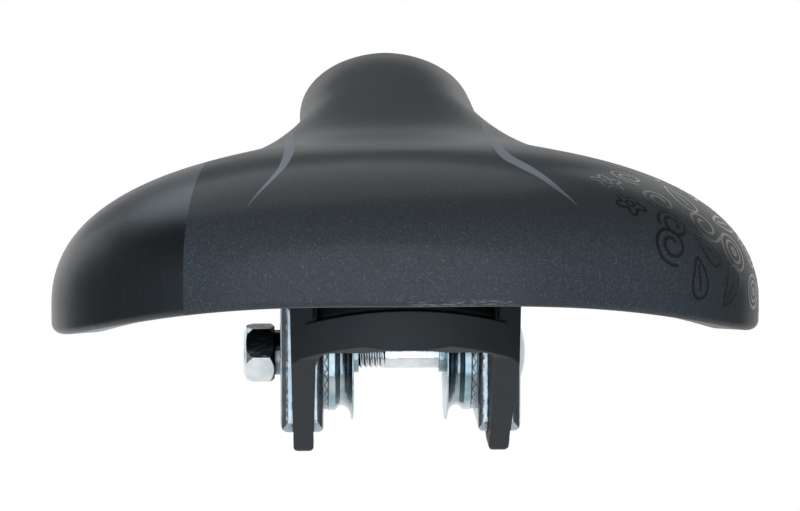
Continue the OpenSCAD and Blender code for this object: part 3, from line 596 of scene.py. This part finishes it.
def motif(kind, size):
    """Lines of one small ornament in its own plane, drawn in shares of its size, each with its width."""
    turn = np.linspace(0, 2 * math.pi, CIRCLE_POINTS)
    circle = np.stack([np.cos(turn), np.sin(turn)], -1)
    if kind == "rings":
        return [(circle * size, 0.75), (circle * size * 0.6, 0.7), (circle * size * 0.18, 0.9)]
    if kind == "bloom":
        petals = circle * (size * (0.8 + 0.24 * np.cos(5 * turn)))[:, None]
        return [(petals, 0.75), (circle * size * 0.26, 0.7)]
    if kind == "curl":
        t = np.linspace(0.25, 1.0, CURL_POINTS)
        a = t * 4.6 * math.pi
        return [(np.stack([np.cos(a), np.sin(a)], -1) * (size * t)[:, None], 0.8)]
    width = size * 0.55 * np.sin(turn) * (1 + 0.5 * np.cos(turn))
    leaf = np.stack([size * 1.15 * np.cos(turn), width], -1)
    rib = np.stack([np.linspace(-0.75, 0.75, RIB_POINTS) * size, np.zeros(RIB_POINTS)], -1)
    return [(leaf, 0.7), (rib, 0.6)]


def print_axes(ray, s):
    """The directions round and up the cover at a place, both of length 1."""
    round_way = skin(ray + RAY_NUDGE, s) - skin(ray - RAY_NUDGE, s)
    round_way /= np.linalg.norm(round_way)
    up_way = skin(ray, s - ANGLE_NUDGE) - skin(ray, s + ANGLE_NUDGE)
    up_way -= round_way * (up_way @ round_way)
    up_way /= np.linalg.norm(up_way)
    return round_way, up_way


def wing_print():
    """Tone-on-tone gloss ornaments scattered over the right wing."""
    verts, faces = [], []
    for number, (ray, s) in enumerate(PRINT_PLACES):
        centre = skin(ray, s)
        round_way, up_way = print_axes(ray, s)
        # Kinds and sizes take turns in an order that shows no pattern
        kind = KINDS[(number * 3 + number // 4) % len(KINDS)]
        size = SMALLEST_SIZE + SIZE_SPREAD * ((number * 7) % 5) / 4
        c, w = math.cos(TURN_STEP * number), math.sin(TURN_STEP * number)
        for line, width in motif(kind, size):
            line = line @ np.array([[c, w], [-w, c]])
            step = np.gradient(line, axis=0)
            step /= np.linalg.norm(step, axis=1, keepdims=True)
            aside = np.stack([-step[:, 1], step[:, 0]], -1) * width / 2
            start = len(verts)
            for p, d in zip(line, aside):
                verts += [on_skin(centre + q[0] * round_way + q[1] * up_way) for q in (p - d, p, p + d)]
            faces += [tuple(start + v for v in f) for f in grid_faces(len(line), 3)]
    return finished(mesh_object("wing_print", verts, faces, GLOSS))


wing_print()

# Bolt with a rolled thread, in millimetres, and HEAD_WELD in metres. Its axis is x, with the thread
# at the left. THREAD_FLANK is how steeply the flanks rise between flat roots and crests.
THREAD_PITCH, THREAD_DEPTH, THREAD_FLANK, THREAD_STEPS = 1.25, 0.55, 2.5, 8
THREAD_START, THREAD_RUN_OUT = -3.2, 1.2
BOLT_RADIUS, POINT_LENGTH, POINT_DEPTH = 4.0, 1.0, 0.9
SHANK_STATIONS, SHANK_SEGMENTS = (0.0, 6.0, 12.0, 18.0), 40
HEAD_RADIUS, HEAD_HEIGHT, HEAD_RINGS, HEAD_SEGMENTS = 8.7, 2.1, 12, 64
HEAD_CORNER, HEAD_LIP, HEAD_EDGE, HEAD_WELD = 0.5, 0.25, 0.1, 1e-7
NECK_LENGTH = 2.6


def bolt_shank(low):
    """The shank, with a thread that runs out at THREAD_START and a chamfered end at low."""
    turn = np.linspace(0, 2 * math.pi, SHANK_SEGMENTS, endpoint=False)
    stations = [*np.arange(low, THREAD_START, THREAD_PITCH / THREAD_STEPS), THREAD_START, *SHANK_STATIONS]
    verts = []
    for x in stations:
        phase = (x / THREAD_PITCH - turn / (2 * math.pi)) % 1
        cut = THREAD_DEPTH * np.clip((0.5 - np.abs(phase - 0.5)) * THREAD_FLANK, 0, 1)
        cut *= np.clip((THREAD_START - x) / THREAD_RUN_OUT, 0, 1)
        cut += POINT_DEPTH * np.clip((low + POINT_LENGTH - x) / POINT_LENGTH, 0, 1) * (1 - cut)
        r = BOLT_RADIUS - cut
        verts += [(x * MM, a * MM, b * MM) for a, b in zip(r * np.cos(turn), r * np.sin(turn))]
    faces = grid_faces(len(stations), SHANK_SEGMENTS, closed=True)
    for first in (0, (len(stations) - 1) * SHANK_SEGMENTS):
        faces.append(tuple(range(first, first + SHANK_SEGMENTS)))
    return mesh_object("clamp_bolt_shank", verts, faces, BOLT_ZINC)


def bolt_head(seat):
    """A low domed head on its seat."""
    cap = (HEAD_RADIUS**2 + HEAD_HEIGHT**2) / (2 * HEAD_HEIGHT)
    profile = [(0.0, HEAD_HEIGHT)]
    for k in range(1, HEAD_RINGS + 1):
        r = (HEAD_RADIUS - HEAD_CORNER) * k / HEAD_RINGS
        profile.append((r, math.sqrt(cap**2 - r**2) - cap + HEAD_HEIGHT))
    profile += [(HEAD_RADIUS, HEAD_LIP), (HEAD_RADIUS - HEAD_EDGE, 0.0), (BOLT_RADIUS, 0.0)]
    turn = np.linspace(0, 2 * math.pi, HEAD_SEGMENTS, endpoint=False)
    verts = []
    for r, h in profile:
        verts += [((seat + h) * MM, r * math.cos(a) * MM, r * math.sin(a) * MM) for a in turn]
    faces = grid_faces(len(profile), HEAD_SEGMENTS, closed=True)
    return mesh_object("clamp_bolt_head", verts, faces, PLATE_ZINC, weld=HEAD_WELD)


def bolt_neck(seat):
    """The square neck under the head."""
    verts = [Vector((x, a * BOLT_RADIUS, b * BOLT_RADIUS)) * MM
             for x in (seat - NECK_LENGTH, seat) for a, b in SQUARE]
    faces = [(0, 1, 2, 3), (4, 5, 6, 7)] + grid_faces(2, 4, closed=True)
    return mesh_object("clamp_bolt_neck", verts, faces, BOLT_ZINC, smooth=False)


def threaded_bolt():
    """The three pieces that stand for the CAD bolt, as long as it is."""
    low, high = (corner.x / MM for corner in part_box("clamp_bolt"))
    seat = high - HEAD_HEIGHT
    pieces = [bolt_shank(low), bolt_head(seat), bolt_neck(seat)]
    for piece in pieces:
        finished(piece)
    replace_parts(pieces[0], "clamp_bolt")


threaded_bolt()

# CAD nodes that stay
SHARP_ANGLE = math.radians(28)


def dress_node(name, material):
    """Give a CAD node its material, smooth faces and sharp edges."""
    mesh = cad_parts[name].data
    mesh.materials.clear()
    mesh.materials.append(material)
    mesh.polygons.foreach_set("use_smooth", [True] * len(mesh.polygons))
    mesh.set_sharp_from_angle(angle=SHARP_ANGLE)


dress_node("base_shell", BASE_PLASTIC)
dress_node("rail_frame", FRAME_PLASTIC)
dress_node("clamp_nut", BOLT_ZINC)
for side in ("left", "right"):
    dress_node("outer_plate_" + side, PLATE_ZINC)
    dress_node("inner_plate_" + side, PLATE_ZINC)
    dress_node("post_cup_" + side, CUP_ZINC)
    dress_node("frame_screw_rear_" + side, BOLT_ZINC)
    dress_node("frame_screw_front_" + side, BOLT_ZINC)

# Studio, in metres
WHITE, PALE = rgb(1, 1, 1), rgb(0.4, 0.4, 0.4)
FILL_COLOR, CARD_COLOR = rgb(0.93, 0.97, 1.0), rgb(0.93, 0.98, 1.0)
# The fill's strength grows from its first level to its second between these heights in the sky,
# which run from -1 straight below to 1 straight above
FILL_HEIGHTS, FILL_LEVELS = (-0.3, 0.3), (0.14, 0.45)
FLOOR_SIDE, FLOOR_Z, FLOOR_ROUGHNESS = 6.0, -2.3, 0.9
CARD_NEAR, CARD_FAR, CARD_SIDE, CARD_LOW, CARD_TOP = -2.4, 2.6, 2.6, -2.2, 1.5
# The card beyond the saddle starts above a gap, and the side cards end where an opening begins
CARD_GAP, CARD_OPENING, BEYOND_LEFT, BEYOND_RIGHT = 0.42, 1.8, -1.5, 0.6
LAMP_COLOR, LAMP_AIM = (0.86, 0.94, 1.0), Vector((0, -0.02, 0.03))
scene.view_settings.view_transform = "Standard"


def seen_rays(tree):
    """1 for the rays that show the background: those of the camera, of mirrors and of clear things."""
    path = add_node(tree, "LightPath")
    seen = path.outputs["Is Camera Ray"]
    for name in ("Is Glossy Ray", "Is Transmission Ray"):
        either = add_node(tree, "Math", seen, path.outputs[name])
        either.operation = "MAXIMUM"
        seen = either.outputs[0]
    return seen


def make_world():
    """White behind the object and in its reflections, and a soft fill on it that is weaker from below."""
    world = bpy.data.worlds.new("studio")
    scene.world = world
    world.use_nodes = True
    tree = world.node_tree
    tree.nodes.clear()
    place = add_node(tree, "TexCoord")
    axes = add_node(tree, "SeparateXYZ", place.outputs["Generated"])
    level = add_node(tree, "MapRange", axes.outputs["Z"], *FILL_HEIGHTS, *FILL_LEVELS)
    level.interpolation_type = "SMOOTHSTEP"
    fill = add_node(tree, "Background", FILL_COLOR, level.outputs[0])
    white = add_node(tree, "Background", WHITE, 1.0)
    mixer = add_node(tree, "MixShader", seen_rays(tree), fill.outputs[0], white.outputs[0])
    add_node(tree, "OutputWorld", mixer.outputs[0])


def make_floor():
    """A pale floor well below the saddle, which hangs free."""
    material = bpy.data.materials.new("pale_floor")
    material.use_nodes = True
    tree = material.node_tree
    shader = tree.nodes["Principled BSDF"]
    shader.inputs["Base Color"].default_value = PALE
    shader.inputs["Roughness"].default_value = FLOOR_ROUGHNESS
    glow = add_node(tree, "Emission", WHITE, 1.0)
    mixer = add_node(tree, "MixShader", seen_rays(tree), shader.outputs[0], glow.outputs[0])
    feed(tree, mixer.outputs[0], tree.nodes["Material Output"].inputs[0])
    corners = [(x * FLOOR_SIDE, y * FLOOR_SIDE, FLOOR_Z) for x, y in SQUARE]
    mesh_object("floor", corners, [(0, 1, 2, 3)], material, smooth=False)


def standing(start, end, low=CARD_LOW):
    """Corners of an upright card over the line from start to end."""
    return [(*start, low), (*end, low), (*end, CARD_TOP), (*start, CARD_TOP)]


def make_card(name, corners, shade):
    """A dark card that only reflections see."""
    material = bpy.data.materials.new(name)
    material.use_nodes = True
    tree = material.node_tree
    tree.nodes.clear()
    glow = add_node(tree, "Emission", CARD_COLOR, shade)
    add_node(tree, "OutputMaterial", glow.outputs[0])
    card = mesh_object(name, corners, [(0, 1, 2, 3)], material, smooth=False)
    card.visible_camera = False
    card.visible_diffuse = False
    card.visible_shadow = False
    card.visible_transmission = False


def make_cards():
    """Cards above the set, beyond the saddle, behind the camera and at both sides."""
    near_left, near_right = (-CARD_SIDE, CARD_NEAR), (CARD_SIDE, CARD_NEAR)
    far_left, far_right = (-CARD_SIDE, CARD_FAR), (CARD_SIDE, CARD_FAR)
    around = (near_left, near_right, far_right, far_left)
    make_card("card_above", [(*corner, CARD_TOP) for corner in around], shade=0.02)
    beyond = standing((BEYOND_LEFT, CARD_FAR), (BEYOND_RIGHT, CARD_FAR), low=CARD_GAP)
    make_card("card_beyond", beyond, shade=0.08)
    make_card("card_behind", standing(near_left, near_right), shade=0.16)
    make_card("card_left", standing(near_left, (-CARD_SIDE, CARD_OPENING)), shade=0.2)
    make_card("card_right", standing(near_right, (CARD_SIDE, CARD_OPENING)), shade=0.12)


def lamp(name, place, size, watts):
    """A large soft lamp that is aimed at the saddle and that the camera can't see."""
    data = bpy.data.lights.new(name, "AREA")
    data.shape = "DISK"
    data.size = size
    data.energy = watts
    data.color = LAMP_COLOR
    obj = bpy.data.objects.new(name, data)
    obj.location = place
    obj.rotation_euler = (LAMP_AIM - Vector(place)).to_track_quat("-Z", "Y").to_euler()
    obj.visible_camera = False
    scene.collection.objects.link(obj)


def make_camera():
    """The photograph's camera, whose picture has the frame's origin where the photograph has it."""
    ahead = Vector((math.sin(YAW) * math.cos(PITCH), math.cos(YAW) * math.cos(PITCH), -math.sin(PITCH)))
    right = Vector((math.cos(YAW), -math.sin(YAW), 0))
    down = ahead.cross(right)
    data = bpy.data.cameras.new("camera")
    data.sensor_width = SENSOR_WIDTH
    data.lens = FOCAL_PIXELS / PHOTO_WIDTH * SENSOR_WIDTH
    camera = bpy.data.objects.new("camera", data)
    offset = right * (ORIGIN_RIGHT / FOCAL_PIXELS) + down * (ORIGIN_DOWN / FOCAL_PIXELS) + ahead
    turn = Matrix((right, -down, -ahead)).transposed().to_4x4()
    camera.matrix_world = Matrix.Translation(-offset * DISTANCE) @ turn
    scene.collection.objects.link(camera)
    scene.camera = camera


make_world()
make_floor()
make_cards()
lamp("front_light", place=(-0.12, -1.0, -0.1), size=1.3, watts=9.5)
lamp("top_light", place=(-0.2, 0.58, 0.92), size=1.2, watts=5.2)
make_camera()
